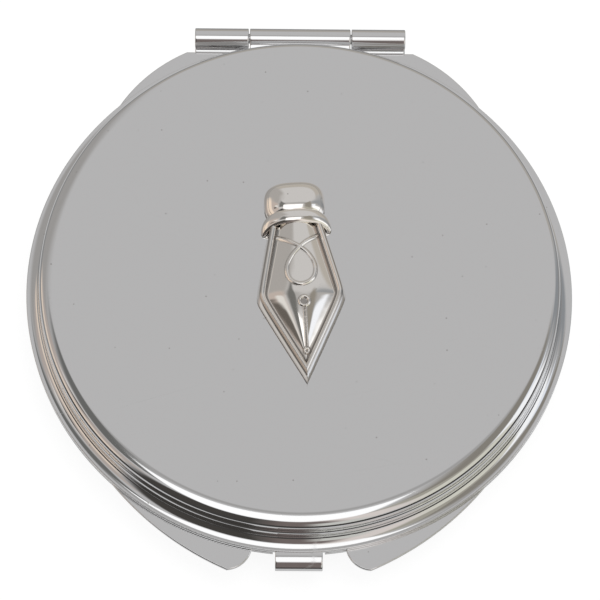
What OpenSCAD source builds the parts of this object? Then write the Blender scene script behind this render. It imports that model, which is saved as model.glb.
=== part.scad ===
// Round folding compact mirror in two pressed halves, drawn closed.
// Origin: centre of the flat underside. +X runs along the hinge, -Y is the thumb tab, +Z is up.

/* [Case] */
// Radius of both plates and of the two flanges
case_r = 35; // [32:0.5:40]
// Depth of each half from its plate to its outer face
half_depth = 4.75; // [4.4:0.05:6]
// Thickness of the two plates
plate_t = 0.55; // [0.4:0.05:0.6]
// Gap between the closed plates
seam_gap = 0.1; // [0.05:0.05:0.2]
// Width of each plate from its round edge to its hole
plate_w = 4.4; // [4.1:0.1:5]

/* [Frame rings] */
// Width of the flange outside the wall
flange_w = 1; // [0.8:0.05:1.2]
// Thickness of the flange at its edge
flange_edge_t = 0.25; // [0.15:0.05:0.35]
// Rise of the flange from its edge to the wall
flange_rise = 0.2; // [0.1:0.05:0.3]
// Distance that the wall leans in from its foot to the seam
wall_lean = 0.8; // [0.6:0.05:1]
// Radius of the hollow sweep of the wall
cove_r = 3.7; // [2.5:0.1:8]
// Height of the seam between ring and cover above the plate
seam_h = 2.5; // [2.2:0.05:2.8]
// Height of the inner lip that the cover sits on
lip_h = 0.9; // [0.5:0.05:1]
// Thickness of the ring's lip
frame_t = 0.4; // [0.3:0.05:0.5]
// Width of the ring's foot inside the wall
foot_w = 0.7; // [0.5:0.05:0.8]

/* [Covers] */
// Thickness of the pressed covers
cover_t = 0.5; // [0.35:0.05:0.6]
// Step from the ring in to the skirt of the cover
cover_step = 0.1; // [0.05:0.05:0.2]
// Radius of the tight corner of the shoulder
corner_r = 0.9; // [0.7:0.05:1.1]
// Radius of the gentle roll from the flat face to the corner
dome_r = 6.7; // [4:0.1:9]
// Angle at which the gentle roll meets the tight corner
shoulder_angle = 78; // [74:1:82]
// Clearance between the lip and the cover
cover_fit = 0.05; // [0.02:0.01:0.08]

/* [Hinge] */
// Full width of the hinge
hinge_w = 28.1; // [24:0.1:30]
// Width of the middle knuckle
knuckle_w = 13.3; // [10:0.1:16]
// Gap between neighbouring knuckles
knuckle_gap = 0.3; // [0.15:0.05:0.5]
// Outer radius of the knuckles
barrel_r = 1.25; // [1.2:0.05:1.4]
// Distance of the hinge axis outside the case radius
hinge_out = 0.7; // [0.6:0.02:0.8]
// Height of the hinge axis above the lid plate
hinge_up = 0.25; // [0.2:0.05:0.35]
// Radial clearance of the pin in the knuckles
pin_fit = 0.04; // [0.02:0.01:0.08]
// Distance that each end of the pin sits inside its knuckle
pin_inset = 0.15; // [0.05:0.05:0.4]
// Room kept around the knuckles
hinge_room = 0.28; // [0.2:0.02:0.4]

/* [Ears and wings] */
// Angle from +X at which an ear leaves the round plate
ear_angle = 45.5; // [43:0.5:50]
// Radius of the curved edge of an ear
ear_r = 21; // [16:1:40]
// Length of the straight edge between an ear and the hinge
ear_land = 1.1; // [0.6:0.1:2]
// Distance from the case radius in to the straight edge of an ear
ear_in = 0.9; // [0.8:0.05:1]
// Angle from +X at which a wing leaves the round plate
wing_angle = 48; // [44:0.5:52]
// Radius of the curved outer edge of a wing
wing_r = 38.7; // [30:0.1:60]
// Distance of a wing's tip from the middle line
wing_tip_x = 8.9; // [8:0.1:10]
// Distance of a wing's tip outside the case radius
wing_reach = 2; // [1.6:0.1:2.4]
// Radius of the rounded inner end of a wing
wing_end_r = 3.3; // [3:0.1:5]
// Width of the gap between the wings
wing_gap = 11.7; // [9:0.1:13]

/* [Thumb tab] */
// Width of the rolled tab
tab_w = 5.86; // [5:0.02:7]
// Outer radius of the roll
tab_r = 1.2; // [1.1:0.05:1.3]
// Distance of the roll's centre outside the case radius
tab_out = 0.81; // [0.76:0.01:0.95]
// Clearance around the tab in the base
tab_room = 0.3; // [0.2:0.05:0.5]
// Slit between the rolled edge and the strip
tab_slit = 0.25; // [0.1:0.05:0.35]

/* [Snap catch] */
// Distance from the case edge in to the outer face of the spring tongue
catch_in = 3; // [2.8:0.1:3.2]
// Width of the spring tongue
tongue_w = 4.8; // [4:0.1:6]
// Thickness of the spring strip
spring_t = 0.3; // [0.2:0.05:0.35]
// Length of the spring strip along the hinge direction
strip_l = 12.4; // [11:0.1:13]
// Depth of the spring strip from front to back
strip_w = 1.3; // [1.1:0.05:1.4]
// Radius of the nose of the catch
nose_r = 0.3; // [0.25:0.05:0.35]
// Clearance between the nose and the slot of the lid
catch_fit = 0.05; // [0.03:0.01:0.1]
// Distance between the two rivets of the spring
rivet_pitch = 10; // [8.5:0.1:10.4]
// Radius of a rivet's shank
rivet_r = 0.4; // [0.3:0.05:0.45]
// Radius of a rivet's head
rivet_head_r = 0.6; // [0.5:0.05:0.65]
// Height of a rivet's head
rivet_head_h = 0.3; // [0.2:0.05:0.4]

/* [Mirrors] */
// Thickness of the mirror glass
mirror_t = 1.8; // [1.2:0.1:2]
// Width of the chamfer on the edge of the glass
mirror_chamfer = 0.25; // [0.1:0.05:0.4]
// Distance that the bezel's face sits below its plate
bezel_inset = 0.15; // [0.1:0.05:0.25]
// Thickness of the bezel's lip
bezel_lip_t = 0.45; // [0.3:0.05:0.5]
// Width of the bezel's lip seen from the front
bezel_lip_w = 2.15; // [1.5:0.05:3]
// Thickness of the bezel's wall
bezel_wall_t = 0.4; // [0.3:0.05:0.5]
// Radial clearance of bezel and glass
glass_fit = 0.05; // [0.02:0.01:0.1]

/* [Nib emblem] */
// Length of the nib figure from cap to tip
nib_l = 26.8; // [24:0.1:30]
// Half of the greatest width of the nib
nib_half_w = 5.8; // [5:0.1:6.5]
// Height of the nib's ridge above its back
nib_h = 2.3; // [2:0.1:2.8]
// Height of the nib's rim
nib_edge_h = 1.7; // [1.2:0.1:1.9]
// Distance that the walls of the nib lean in from back to rim
nib_draft = 0.4; // [0.2:0.05:0.5]
// Height of the raised border and lines
nib_line_h = 0.16; // [0.1:0.02:0.3]
// Width of the raised border
nib_border_w = 0.5; // [0.3:0.05:0.8]
// Width of the raised lines
nib_line_w = 0.34; // [0.2:0.02:0.5]
// Half width of the cap
cap_half_w = 3.85; // [3.4:0.05:4.2]
// Length of the cap along the nib
cap_l = 4.4; // [3.8:0.1:5]
// Height of the cap
cap_h = 2.8; // [2.5:0.1:3.2]
// Radius of the rounded edge of the cap
cap_edge_r = 1.3; // [1:0.05:1.4]
// Radius of the rounded collar
bead_r = 1.15; // [0.9:0.05:1.3]
// Half width of the collar
collar_half_w = 4.5; // [4.2:0.05:5]
// Rise of the collar from its ends to its middle
collar_rise = 0.55; // [0.3:0.05:0.8]
// Distance that the collar's middle sits nearer the cap than its ends
collar_bow = 0.5; // [0.3:0.05:0.8]
// Thickness of the adhesive under the emblem
glue_t = 0.1; // [0.05:0.05:0.2]
// Angle that the emblem leans from the middle line
nib_lean = 4; // [0:0.1:6]

/* [Hidden] */
$fn = 96;

// Overrun of every cut
cut = 1;
// Straight pieces in each curved stretch of an outline
arc_steps = 10;
// Chamfer on the ends of the hinge pin
pin_chamfer = 0.15;
// Room behind the spring tongue in the slot of the lid
slot_room = 0.5;
// Clearance of the tongue and the rivets in the base plate
base_fit = 0.02;
// Room behind the tongue in the slot of the base plate
tongue_room = 0.15;
// Distance that the adhesive stops short of the emblem's edge
glue_inset = 0.45;
// Place of the emblem's middle on the lid
nib_x = 0;
nib_y = -1.4;

// Heights of the stack, from the underside up
base_plate_z = half_depth;
base_face_z = base_plate_z + plate_t;
lid_face_z = base_face_z + seam_gap;
lid_plate_z = lid_face_z + plate_t;
lid_top_z = lid_plate_z + half_depth;

// Radii of the shells
foot_r = case_r - flange_w;
foot_h = flange_edge_t + flange_rise;
seam_r = foot_r - wall_lean;
cover_r = seam_r - cover_step;
lip_r = cover_r - cover_t - cover_fit;
flat_r = cover_r - corner_r - (dome_r - corner_r) * cos(shoulder_angle);
shoulder_h = half_depth - dome_r + (dome_r - corner_r) * sin(shoulder_angle);
plate_hole_r = case_r - plate_w;

// Hinge
hinge_y = case_r + hinge_out;
hinge_z = lid_plate_z + hinge_up;
bore_r = barrel_r - plate_t;
pin_r = bore_r - pin_fit;
knuckle_x = knuckle_w / 2;
side_x = knuckle_x + knuckle_gap;
side_w = hinge_w / 2 - side_x;
notch_x = hinge_w / 2 + knuckle_gap;
notch_y = hinge_y - barrel_r - hinge_room;

// Thumb tab and catch
tab_y = -case_r - tab_out;
tab_z = lid_plate_z - tab_r;
tab_notch_y = tab_y + tab_r + tab_room;
tongue_y = -case_r + catch_in;
strip_y = tongue_y - spring_t;
nose_y = tongue_y - nose_r / 2;
nose_z = lid_plate_z + nose_r - base_fit;
rivet_y = strip_y + strip_w / 2;

// Mirror stack, measured from a plate's face into its half
bezel_r = plate_hole_r - glass_fit;
bezel_in_r = bezel_r - bezel_lip_w;
mirror_r = bezel_r - bezel_wall_t - glass_fit;
mirror_d = bezel_inset + bezel_lip_t;
pad_d = mirror_d + mirror_t;
pad_t = plate_t + half_depth - cover_t - pad_d;

// Places on the nib along its axis, from the tip up, with sizes as shares of the whole
nib_tip_v = -nib_l / 2;
nib_top_v = nib_l / 2;
widest_share = -0.081;
widest_v = nib_l * widest_share;
cap_v = nib_top_v - cap_l;
collar_v = cap_v - bead_r;
body_top_v = collar_v;
body_top_share = 0.6;
body_top_half_w = nib_half_w * body_top_share;
ridge_share = 0.22;
ring_share = 0.105;
ring_r = nib_half_w * ring_share;
ring_from_middle_share = -0.121;
ring_v = nib_l * ring_from_middle_share;
eye_share = 0.088;
eye_r = nib_half_w * eye_share;
eye_from_middle_share = -0.355;
eye_v = nib_l * eye_from_middle_share;
loop_share = 0.317;
loop_r = nib_half_w * loop_share;
loop_from_middle_share = 0.03;
loop_v = nib_l * loop_from_middle_share;
cross_share = 0.151;
cross_v = nib_l * cross_share;
line_end_share = 0.56;
line_top_share = 0.229;
nib_outline = [[0, nib_tip_v], [nib_half_w, widest_v], [body_top_half_w, body_top_v],
               [-body_top_half_w, body_top_v], [-nib_half_w, widest_v]];

// Points of a circular arc of radius r from p to q, with its centre on the left for side 1
function turn(a) = a > 180 ? a - 360 : a < -180 ? a + 360 : a;
function arc_points(p, q, r, side) =
    let (d = q - p, l = norm(d), m = (p + q) / 2)
    let (c = m + side * sqrt(r * r - l * l / 4) * [-d[1], d[0]] / l)
    let (a = atan2(p[1] - c[1], p[0] - c[0]))
    let (b = turn(atan2(q[1] - c[1], q[0] - c[0]) - a))
    [for (i = [0 : arc_steps]) c + r * [cos(a + b * i / arc_steps), sin(a + b * i / arc_steps)]];

// Points of an arc about centre c from angle a to angle b
function sweep_points(c, r, a, b) =
    [for (i = [0 : arc_steps]) c + r * [cos(a + (b - a) * i / arc_steps), sin(a + (b - a) * i / arc_steps)]];

// Placement of a half: drawn upwards from the outer face of its plate
module on_lid() translate([0, 0, lid_plate_z]) children();
module under_base() translate([0, 0, base_plate_z]) mirror([0, 0, 1]) children();

// Placement of the mirror stack: drawn from the face of a plate into its half
module in_lid() translate([0, 0, lid_face_z]) children();
module in_base() translate([0, 0, base_face_z]) mirror([0, 0, 1]) children();

// A box that is centred on the middle line
module bar(w, y0, y1, z0, z1) translate([-w / 2, y0, z0]) cube([w, y1 - y0, z1 - z0]);

// A round bar along the hinge direction
module rod(x, y, z, w, r) translate([x, y, z]) rotate([0, 90, 0]) cylinder(r = r, h = w);

// Pressed cover with its rolled shoulder and skirt
module cover_shell() {
    corner = [cover_r - corner_r, shoulder_h];
    dome = [flat_r, half_depth - dome_r];
    rotate_extrude() polygon(concat(
        [[cover_r, seam_h]],
        sweep_points(corner, corner_r, 0, shoulder_angle),
        sweep_points(dome, dome_r, shoulder_angle, 90),
        [[0, half_depth], [0, half_depth - cover_t], [flat_r, half_depth - cover_t]],
        sweep_points(dome, dome_r - cover_t, 90, shoulder_angle),
        sweep_points(corner, corner_r - cover_t, shoulder_angle, 0),
        [[cover_r - cover_t, seam_h]]
    ));
}

// Ring with the flange, the hollow wall and the lip that carries the cover
module frame_ring() {
    foot = [foot_r, foot_h];
    seam = [seam_r, seam_h];
    rotate_extrude() polygon(concat(
        [[case_r, 0], [case_r, flange_edge_t]],
        arc_points(foot, seam, cove_r, -1),
        [[lip_r, seam_h], [lip_r, seam_h + lip_h], [lip_r - frame_t, seam_h + lip_h],
         [lip_r - frame_t, seam_h - frame_t], [foot_r - foot_w, foot_h], [foot_r - foot_w, 0]]
    ));
}

// Outline of one ear, from the round edge to the hinge
module ear_outline() {
    foot = case_r * [cos(ear_angle), sin(ear_angle)];
    end = [hinge_w / 2 + ear_land, case_r - ear_in];
    polygon(concat([[0, 0]], arc_points(foot, end, ear_r, 1), [[0, end[1]]]));
}

// Outline of one wing, from the round edge past its tip to the gap
module wing_outline() {
    foot = case_r * [cos(wing_angle), -sin(wing_angle)];
    tip = [wing_tip_x, -case_r - wing_reach];
    gap = wing_gap / 2;
    root = [gap, -sqrt(case_r * case_r - gap * gap)];
    polygon(concat([[0, 0]], arc_points(foot, tip, wing_r, -1), arc_points(tip, root, wing_end_r, -1)));
}

// Slot for the spring tongue in a plate
module tongue_slot(w, y0, y1, z) bar(w, y0, y1, z - cut, z + plate_t + cut);

module base_cover() color("gainsboro") under_base() cover_shell();

module base_frame_ring() color("silver") difference() {
    under_base() frame_ring();
    bar(tab_w + 2 * tab_room, tab_y - cut, tab_notch_y, base_plate_z - foot_h - cut, base_plate_z + cut);
}

// Ring plate with the ears, the wings and the two outer knuckles
module base_plate() color("silver") difference() {
    union() {
        translate([0, 0, base_plate_z]) linear_extrude(plate_t) {
            circle(case_r);
            for (s = [0, 1]) mirror([s, 0]) {
                ear_outline();
                wing_outline();
            }
        }
        for (s = [0, 1]) mirror([s, 0, 0]) {
            rod(side_x, hinge_y, hinge_z, side_w, barrel_r);
            translate([side_x, notch_y - cut, base_plate_z])
                cube([side_w, cut + hinge_y - bore_r - notch_y, plate_t]);
        }
    }
    translate([0, 0, base_plate_z - cut]) cylinder(r = plate_hole_r, h = plate_t + 2 * cut);
    rod(-notch_x, hinge_y, hinge_z, 2 * notch_x, bore_r);
    bar(2 * side_x, notch_y, hinge_y + barrel_r, base_plate_z - cut, base_face_z + cut);
    bar(tab_w + 2 * tab_room, tab_y - cut, tab_notch_y, base_plate_z - cut, base_face_z + cut);
    tongue_slot(tongue_w + 2 * tongue_room, strip_y, tongue_y + spring_t + tongue_room, base_plate_z);
    rivet_holes();
}

module hinge_pin() color("dimgray") {
    l = hinge_w - 2 * pin_inset;
    translate([-l / 2, hinge_y, hinge_z]) rotate([0, 90, 0]) rotate_extrude() polygon([
        [0, 0], [pin_r - pin_chamfer, 0], [pin_r, pin_chamfer],
        [pin_r, l - pin_chamfer], [pin_r - pin_chamfer, l], [0, l]
    ]);
}

module rivet_holes() for (s = [-1, 1]) translate([s * rivet_pitch / 2, rivet_y, 0])
    cylinder(r = rivet_r + base_fit, h = lid_top_z);

// Strip under the base plate with its upright tongue and nose
module catch_spring() color("lightsteelblue") difference() {
    union() {
        bar(strip_l, strip_y, strip_y + strip_w, base_plate_z - spring_t, base_plate_z);
        bar(tongue_w, tongue_y, tongue_y + spring_t, base_plate_z - spring_t, nose_z);
        rod(-tongue_w / 2, nose_y, nose_z, tongue_w, nose_r);
    }
    rivet_holes();
}

module catch_rivets() color("darkgray") for (s = [-1, 1]) translate([s * rivet_pitch / 2, rivet_y, 0]) {
    translate([0, 0, base_plate_z - spring_t]) cylinder(r = rivet_r, h = spring_t + plate_t);
    translate([0, 0, base_plate_z - spring_t - rivet_head_h]) cylinder(r = rivet_head_r, h = rivet_head_h);
}

// Parts of the mirror stack, alike in both halves
module backing_pad() translate([0, 0, pad_d]) cylinder(r = bezel_r, h = pad_t);

module mirror_glass() rotate_extrude() polygon([
    [0, mirror_d], [mirror_r - mirror_chamfer, mirror_d], [mirror_r, mirror_d + mirror_chamfer],
    [mirror_r, pad_d], [0, pad_d]
]);

module bezel_ring() rotate_extrude() polygon([
    [bezel_in_r, mirror_d], [bezel_in_r, bezel_inset + bezel_lip_t / 2], [bezel_in_r + bezel_lip_t / 2, bezel_inset],
    [bezel_r, bezel_inset], [bezel_r, pad_d], [bezel_r - bezel_wall_t, pad_d], [bezel_r - bezel_wall_t, mirror_d]
]);

module base_backing_pad() color("burlywood") in_base() backing_pad();
module base_mirror() color("lightcyan") in_base() mirror_glass();
module base_bezel() color("whitesmoke") in_base() bezel_ring();

module lid_cover() color("lightgray") on_lid() cover_shell();

module lid_frame_ring() color("silver") difference() {
    on_lid() frame_ring();
    bar(2 * notch_x, notch_y, hinge_y + barrel_r, lid_plate_z - cut, lid_plate_z + foot_h);
}

// Ring plate with the middle knuckle, the rolled thumb tab and the slot of the catch
module lid_plate() color("gray") difference() {
    union() {
        difference() {
            translate([0, 0, lid_face_z]) cylinder(r = case_r, h = plate_t);
            bar(2 * notch_x, notch_y, hinge_y + barrel_r, lid_face_z - cut, lid_plate_z + cut);
        }
        rod(-knuckle_x, hinge_y, hinge_z, knuckle_w, barrel_r);
        bar(knuckle_w, notch_y - cut, hinge_y - bore_r, lid_face_z, lid_plate_z);
        bar(tab_w, tab_y, tab_y + tab_out + cut, lid_face_z, lid_plate_z);
        rod(-tab_w / 2, tab_y, tab_z, tab_w, tab_r);
    }
    translate([0, 0, lid_face_z - cut]) cylinder(r = plate_hole_r, h = plate_t + 2 * cut);
    rod(-notch_x, hinge_y, hinge_z, 2 * notch_x, bore_r);
    rod(-tab_w, tab_y, tab_z, 2 * tab_w, tab_r - plate_t);
    bar(2 * tab_w, tab_y, tab_y + tab_r + cut, lid_face_z - tab_slit, lid_face_z);
    tongue_slot(tongue_w + 2 * spring_t, nose_y - nose_r - catch_fit, tongue_y + spring_t + slot_room, lid_face_z);
}

module lid_backing_pad() color("burlywood") in_lid() backing_pad();
module lid_mirror() color("lightcyan") in_lid() mirror_glass();
module lid_bezel() color("whitesmoke") in_lid() bezel_ring();

// Placement of the emblem on the lid
module on_top(z) translate([nib_x, nib_y, lid_top_z + z]) rotate([0, 0, nib_lean]) children();

// Drafted and crowned body of the nib up to the tops of its raised lines
module nib_crown() hull() {
    linear_extrude(glue_t) polygon(nib_outline);
    linear_extrude(nib_edge_h + nib_line_h) offset(delta = -nib_draft) polygon(nib_outline);
    linear_extrude(nib_h + nib_line_h) polygon(nib_outline * ridge_share);
}

// Outline of the sunk panels between the border and the raised lines
module nib_panels() difference() {
    offset(delta = -nib_draft - nib_border_w) polygon(nib_outline);
    for (s = [-1, 1]) hull() {
        translate([s * line_end_share * nib_half_w, line_top_share * nib_l]) circle(nib_line_w / 2, $fn = 32);
        translate([0, cross_v]) circle(nib_line_w / 2, $fn = 32);
    }
    difference() {
        nib_drop(nib_line_w / 2);
        nib_drop(-nib_line_w / 2);
    }
    for (e = [[ring_v, ring_r], [eye_v, eye_r]]) translate([0, e[0]]) difference() {
        circle(e[1] + nib_line_w / 2, $fn = 32);
        circle(e[1] - nib_line_w / 2, $fn = 32);
    }
}

// Body of the nib with its panels sunk by the height of the lines, and its slit
module nib_body() difference() {
    nib_crown();
    intersection() {
        linear_extrude(nib_h + cut) nib_panels();
        difference() {
            translate([-nib_half_w, nib_tip_v, 0]) cube([2 * nib_half_w, nib_l, nib_h + cut]);
            translate([0, 0, -nib_line_h]) nib_crown();
        }
    }
    translate([-nib_line_w / 4, eye_v, nib_edge_h]) cube([nib_line_w / 2, ring_v - eye_v, nib_h]);
}

// Teardrop loop that hangs from the crossing
module nib_drop(extra) hull() {
    translate([0, loop_v]) circle(loop_r + extra, $fn = 32);
    translate([0, cross_v]) circle(nib_line_w / 2 + extra / 2, $fn = 32);
}

// A ball on a short foot, so that what is hulled from it stands on the lid
module ball_on_foot(u, v, z, r) translate([u, v, 0]) {
    translate([0, 0, z]) sphere(r, $fn = 24);
    cylinder(r = r - glue_inset, h = glue_t, $fn = 24);
}

// Cap with a rounded edge and a crowned middle
module nib_cap() {
    in_w = cap_half_w - cap_edge_r;
    mid_v = cap_v + cap_l / 2;
    intersection() {
        hull() {
            for (s = [-1, 1]) {
                ball_on_foot(s * in_w, cap_v, cap_edge_r, cap_edge_r);
                ball_on_foot(s * in_w, mid_v, cap_edge_r, cap_edge_r);
                ball_on_foot(s * in_w / 2, nib_top_v - cap_edge_r, cap_edge_r, cap_edge_r);
            }
            ball_on_foot(0, mid_v, cap_h - cap_edge_r, cap_edge_r);
        }
        translate([-cap_half_w, collar_v, 0]) cube([2 * cap_half_w, nib_top_v - collar_v, cap_h]);
    }
}

// Rounded collar that bows over the nib below the cap
module nib_collar() for (s = [-1, 1]) hull() {
    ball_on_foot(0, collar_v, bead_r + collar_rise, bead_r);
    ball_on_foot(s * (collar_half_w - bead_r), collar_v - collar_bow, bead_r, bead_r);
}

module nib_emblem() color("lightsteelblue") on_top(glue_t) {
    nib_body();
    nib_collar();
    nib_cap();
}

module emblem_adhesive() color("beige") on_top(0) linear_extrude(glue_t)
    offset(delta = -glue_inset) polygon(nib_outline);

base_cover();
base_frame_ring();
base_plate();
hinge_pin();
catch_spring();
catch_rivets();
base_backing_pad();
base_mirror();
base_bezel();
lid_cover();
lid_frame_ring();
lid_plate();
lid_backing_pad();
lid_mirror();
lid_bezel();
nib_emblem();
emblem_adhesive();
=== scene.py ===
"""Round folding compact mirror in polished chrome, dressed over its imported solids."""

import logging
import math
from dataclasses import dataclass
from enum import Enum
from functools import cache
from typing import Sequence

import bmesh
import bpy
from mathutils import Matrix, Vector, kdtree


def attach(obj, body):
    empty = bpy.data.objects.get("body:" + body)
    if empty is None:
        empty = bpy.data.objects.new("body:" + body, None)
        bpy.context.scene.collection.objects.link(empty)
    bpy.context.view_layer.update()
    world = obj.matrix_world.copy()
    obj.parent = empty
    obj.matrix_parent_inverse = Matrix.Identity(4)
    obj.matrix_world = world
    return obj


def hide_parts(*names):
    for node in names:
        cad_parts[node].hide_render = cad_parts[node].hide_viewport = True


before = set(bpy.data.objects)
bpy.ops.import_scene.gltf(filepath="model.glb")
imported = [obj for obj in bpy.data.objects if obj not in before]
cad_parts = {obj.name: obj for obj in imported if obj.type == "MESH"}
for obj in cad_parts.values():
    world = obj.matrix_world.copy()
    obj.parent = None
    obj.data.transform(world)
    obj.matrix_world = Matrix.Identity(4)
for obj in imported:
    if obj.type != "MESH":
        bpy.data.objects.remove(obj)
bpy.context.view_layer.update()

# Skins are drawn in millimetres. Points closer than WELD are one, and points within CUT of a cut lie on it.
MM = 0.001
WELD = 1e-4
CUT = 1e-5
LOG = logging.getLogger("compact_mirror")

Skin = bmesh.types.BMesh
Socket = bpy.types.NodeSocket
Color = tuple[float, float, float]
Triple = tuple[float, float, float]
Points = tuple[tuple[float, float], ...]


# Mesh tools


class Plane(Enum):
    """Planes in which a pen draws: the axes of its two coordinates, and the axis that its arcs turn about."""

    SIDE = (0, 2, (0, -1, 0))
    FLAT = (0, 1, (0, 0, 1))
    END = (1, 2, (1, 0, 0))

    def point(self, a: float, b: float) -> Vector:
        """Returns the point of the plane at a and b.

        Args:
            a: first place in the plane.
            b: second place in the plane.

        Returns:
            The point.
        """
        point = Vector((0, 0, 0))
        point[self.value[0]], point[self.value[1]] = a, b
        return point


class Pen:
    """Draws an open or closed wire with a moving point, in millimetres."""

    def __init__(self, a: float, b: float, plane: Plane = Plane.SIDE) -> None:
        """Puts the pen down at a and b.

        Args:
            a: first place in the plane.
            b: second place in the plane.
            plane: the plane that the pen draws in.
        """
        self.plane = plane
        self.bm = bmesh.new()
        self.tip = self.bm.verts.new(plane.point(a, b))
        self.first = self.tip

    def line(self, a: float, b: float) -> "Pen":
        """Draws a straight stretch to a and b.

        Args:
            a: first place of the line's end.
            b: second place of the line's end.

        Returns:
            The pen.
        """
        made = bmesh.ops.extrude_vert_indiv(self.bm, verts=[self.tip])
        self.tip = made["verts"][0]
        self.tip.co = self.plane.point(a, b)
        return self

    def arc(self, a: float, b: float, angle: float, steps: int) -> "Pen":
        """Draws an arc about the point a and b.

        Args:
            a: first coordinate of the arc's centre.
            b: second coordinate of the arc's centre.
            angle: swept angle in degrees, positive from the first axis to the second.
            steps: number of straight pieces.

        Returns:
            The pen itself.
        """
        made = bmesh.ops.spin(self.bm, geom=[self.tip], cent=self.plane.point(a, b), axis=self.plane.value[2],
                              angle=math.radians(angle), steps=steps, use_duplicate=False)
        self.tip = next(e for e in made["geom_last"] if isinstance(e, bmesh.types.BMVert))
        return self

    def bend(self, a: float, b: float, radius: float, steps: int = 12) -> "Pen":
        """Draws an arc of a given radius to a and b.

        Args:
            a: first coordinate of the arc's end.
            b: second coordinate of the arc's end.
            radius: the arc's radius, with its centre on the left of the way there.
            steps: number of straight pieces.

        Returns:
            The pen itself.
        """
        first, second, _ = self.plane.value
        start = Vector((self.tip.co[first], self.tip.co[second]))
        run = Vector((a, b)) - start
        reach = math.sqrt(radius ** 2 - run.length_squared / 4)
        centre = start + run / 2 + Vector((-run.y, run.x)).normalized() * reach
        sweep = 2 * math.asin(run.length / 2 / radius)
        return self.arc(centre.x, centre.y, math.degrees(sweep), steps)

    def close(self, near: float = 1e-3) -> "Pen":
        """Joins the pen's point to where it began, as one point if they lie nearer than near.

        Args:
            near: greatest distance at which the two count as one point.

        Returns:
            The pen.
        """
        if (self.tip.co - self.first.co).length < near:
            bmesh.ops.weld_verts(self.bm, targetmap={self.tip: self.first})
        else:
            self.bm.edges.new((self.tip, self.first))
        return self

    def lathe(self, steps: int = 288) -> Skin:
        """Spins the wire a full turn about the upright axis into a closed skin.

        Args:
            steps: steps of the full turn.

        Returns:
            The skin.
        """
        bm = self.bm
        bmesh.ops.spin(bm, geom=bm.verts[:] + bm.edges[:], cent=(0, 0, 0), axis=(0, 0, 1),
                       angle=math.tau, steps=steps, use_merge=True, use_duplicate=False)
        bmesh.ops.remove_doubles(bm, verts=bm.verts[:], dist=WELD)
        return outwards(bm)


def outwards(bm: Skin) -> Skin:
    """Turns all faces of a skin outwards."""
    bmesh.ops.recalc_face_normals(bm, faces=bm.faces[:])
    return bm


def seal(bm: Skin, near: float = WELD) -> Skin:
    """Joins points that lie together and closes a skin's open rims.

    Args:
        bm: the skin.
        near: distance within which points count as one.

    Returns:
        The skin.
    """
    bmesh.ops.remove_doubles(bm, verts=bm.verts[:], dist=near)
    bmesh.ops.dissolve_degenerate(bm, edges=bm.edges[:], dist=near)
    bmesh.ops.holes_fill(bm, edges=[e for e in bm.edges if e.is_boundary], sides=0)
    return outwards(bm)


def move(bm: Skin, way: Sequence[float]) -> None:
    """Moves a whole skin."""
    bmesh.ops.translate(bm, vec=way, verts=bm.verts[:])


def pull(bm: Skin, faces: Sequence[bmesh.types.BMFace], direction: Vector) -> None:
    """Gives flat faces a thickness."""
    pulled = bmesh.ops.extrude_face_region(bm, geom=faces, use_keep_orig=True)["geom"]
    bmesh.ops.translate(bm, vec=direction, verts=[v for v in pulled if isinstance(v, bmesh.types.BMVert)])


def whole(bm: Skin) -> list:
    """Returns all points, edges and faces of a skin."""
    return bm.verts[:] + bm.edges[:] + bm.faces[:]


def polar(a: float, b: float, radius: float, angle: float) -> tuple[float, float]:
    """Returns the point at a radius and an angle in degrees about a and b."""
    turn = math.radians(angle)
    return a + radius * math.cos(turn), b + radius * math.sin(turn)


def hump(value: float, middle: float, width: float, height: float) -> float:
    """Returns a height at the middle, falling to 0 at the width on both sides."""
    return max(0.0, 1 - ((value - middle) / width) ** 2) * height


def soften(bm: Skin, width: float, angle: float, segments: int = 3, clamp: bool = True) -> None:
    """Rounds the sharp edges of a skin.

    Args:
        bm: the skin.
        width: width of the rounding.
        angle: least angle between two faces, in degrees, that counts as sharp.
        segments: faces across the rounding.
        clamp: narrows the rounding where edges lie close together.
    """
    bm.normal_update()
    sharp = [e for e in bm.edges if len(e.link_faces) == 2 and e.calc_face_angle(0) > math.radians(angle)]
    bmesh.ops.bevel(bm, geom=sharp, offset=width, offset_type="OFFSET", affect="EDGES", segments=segments,
                    profile=0.5, material=-1, clamp_overlap=clamp)


def merge(bm: Skin, other: Skin) -> None:
    """Adds another skin to a skin and frees the other.

    Args:
        bm: the skin that grows.
        other: the skin that goes into it.
    """
    carrier = bpy.data.meshes.new("carrier")
    other.to_mesh(carrier)
    other.free()
    bm.from_mesh(carrier)
    bpy.data.meshes.remove(carrier)


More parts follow.
